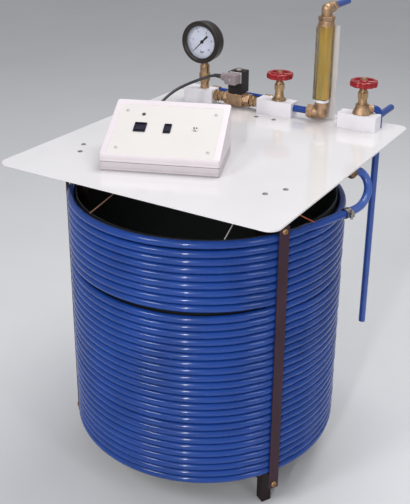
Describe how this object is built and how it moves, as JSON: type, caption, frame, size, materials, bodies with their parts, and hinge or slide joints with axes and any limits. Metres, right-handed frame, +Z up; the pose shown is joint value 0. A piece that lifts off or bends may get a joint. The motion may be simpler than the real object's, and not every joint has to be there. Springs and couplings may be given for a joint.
{
  "type": "coiled pipe rig",
  "caption": "Free-standing pipe rig: a long blue tube coiled on a three-legged frame under a white plate with gauge, valves, flow meter and control box.",
  "frame": {"origin": "on the floor, under the middle of the footprint without the hoses and the cable", "axes": "+Z up, +X to the right along the front edge of the plate, +Y to the back"},
  "size_m": [0.5992, 0.7078, 0.9148],
  "materials": {
    "frame_paint": "dark brown satin paint",
    "black_plastic": "black moulded plastic",
    "zinc_screws": "zinc plated",
    "blue_tube": "glossy blue nylon tube",
    "hose": "blue hose",
    "tie_band": "thin plastic band",
    "brass": "dull brass",
    "white_plate": "white gloss paint",
    "white_block": "white plastic",
    "gauge_black": "black enamel",
    "dial_white": "printed white dial",
    "clear_glass": "clear window",
    "steel": "turned steel",
    "grey_plastic": "grey plastic",
    "cable_black": "black cable",
    "red_enamel": "red enamel",
    "clear_acrylic": "clear acrylic",
    "amber_tube": "amber tube",
    "box_shell": "cream textured paint",
    "box_face": "pale satin panel",
    "switch_black": "black switch",
    "lamp_lens": "dark lens"
  },
  "bodies": {
    "root": {"leg_left": "frame_paint", "leg_right": "frame_paint", "leg_rear": "frame_paint", "leg_feet": "black_plastic", "frame_rails": "frame_paint", "coil_straps": "frame_paint", "strap_blocks": "black_plastic", "strap_bolts": "zinc_screws", "coil_liner": "black_plastic", "coil_tube": "blue_tube", "coil_ties": "tie_band", "hose_clamp": "zinc_screws", "lead_hose": "hose", "tube_fittings": "brass", "riser_pipe": "blue_tube", "feed_pipe": "blue_tube", "link_pipes": "blue_tube", "drain_hose": "hose", "pipe_stubs": "blue_tube", "top_plate": "white_plate", "plate_screws": "zinc_screws", "mounting_blocks": "white_block", "gauge_stem": "brass", "gauge_case": "gauge_black", "gauge_bezel": "gauge_black", "gauge_dial": "dial_white", "gauge_window": "clear_glass", "bourdon_tube": "brass", "solenoid_body": "brass", "solenoid_core": "steel", "solenoid_coil": "black_plastic", "plunger_spring": "steel", "din_connector": "grey_plastic", "solenoid_cable": "cable_black", "centre_bonnet": "brass", "right_body": "brass", "right_bonnet": "brass", "flow_elbows": "brass", "flow_block": "clear_acrylic", "flow_tube": "amber_tube", "flow_bracket": "white_plate", "box_base": "box_shell", "box_lid": "box_shell", "box_panel": "box_face", "panel_screws": "zinc_screws", "switch_housings": "switch_black", "indicator_lamp": "lamp_lens", "box_connectors": "black_plastic"},
    "needle": {"gauge_needle": "gauge_black"},
    "centre_handwheel": {"centre_wheel": "red_enamel", "centre_stem": "steel"},
    "centre_valve_gate": {"centre_gate": "brass"},
    "right_handwheel": {"right_wheel": "red_enamel", "right_stem": "steel"},
    "right_valve_gate": {"right_gate": "brass"},
    "float": {"flow_float": "steel"},
    "plunger": {"solenoid_plunger": "steel"},
    "power_rocker": {"power_switch": "switch_black"},
    "valve_rocker": {"valve_switch": "switch_black"}
  },
  "joints": [
    {"name": "needle_turn", "type": "hinge", "parent": "root", "child": "needle", "pos_m": [-0.18302, 0.20993, 0.80131], "axis": [0, 1, 0], "range_deg": [0, 270]},
    {"name": "centre_wheel_turn", "type": "hinge", "parent": "root", "child": "centre_handwheel", "pos_m": [0.00898, 0.20993, 0.66031], "axis": [0, 0, 1], "range_deg": [0, 1080]},
    {"name": "centre_gate_lift", "type": "slide", "parent": "root", "child": "centre_valve_gate", "axis": [0, 0, 1], "range_m": [0, 0.01]},
    {"name": "right_wheel_turn", "type": "hinge", "parent": "root", "child": "right_handwheel", "pos_m": [0.20197, 0.20993, 0.66031], "axis": [0, 0, 1], "range_deg": [0, 1080]},
    {"name": "right_gate_lift", "type": "slide", "parent": "root", "child": "right_valve_gate", "axis": [0, 0, 1], "range_m": [0, 0.01]},
    {"name": "float_rise", "type": "slide", "parent": "root", "child": "float", "axis": [0, 0, 1], "range_m": [0, 0.11]},
    {"name": "plunger_lift", "type": "slide", "parent": "root", "child": "plunger", "axis": [0, 0, 1], "range_m": [0, 0.004], "stiffness_N_per_m": 300, "springref_m": -0.002, "deforming": ["plunger_spring"]},
    {"name": "power_switch_rock", "type": "hinge", "parent": "root", "child": "power_rocker", "pos_m": [-0.08064, -0.18947, 0.71955], "axis": [0.9285, 0.3714, 0], "range_deg": [0, 20]},
    {"name": "valve_switch_rock", "type": "hinge", "parent": "root", "child": "valve_rocker", "pos_m": [-0.03236, -0.17016, 0.71955], "axis": [0.9285, 0.3714, 0], "range_deg": [0, 20]}
  ],
  "couplings": [
    {"joint": "centre_gate_lift", "follows": "centre_wheel_turn", "m_per_rad": 0.00053052},
    {"joint": "right_gate_lift", "follows": "right_wheel_turn", "m_per_rad": 0.00053052}
  ]
}
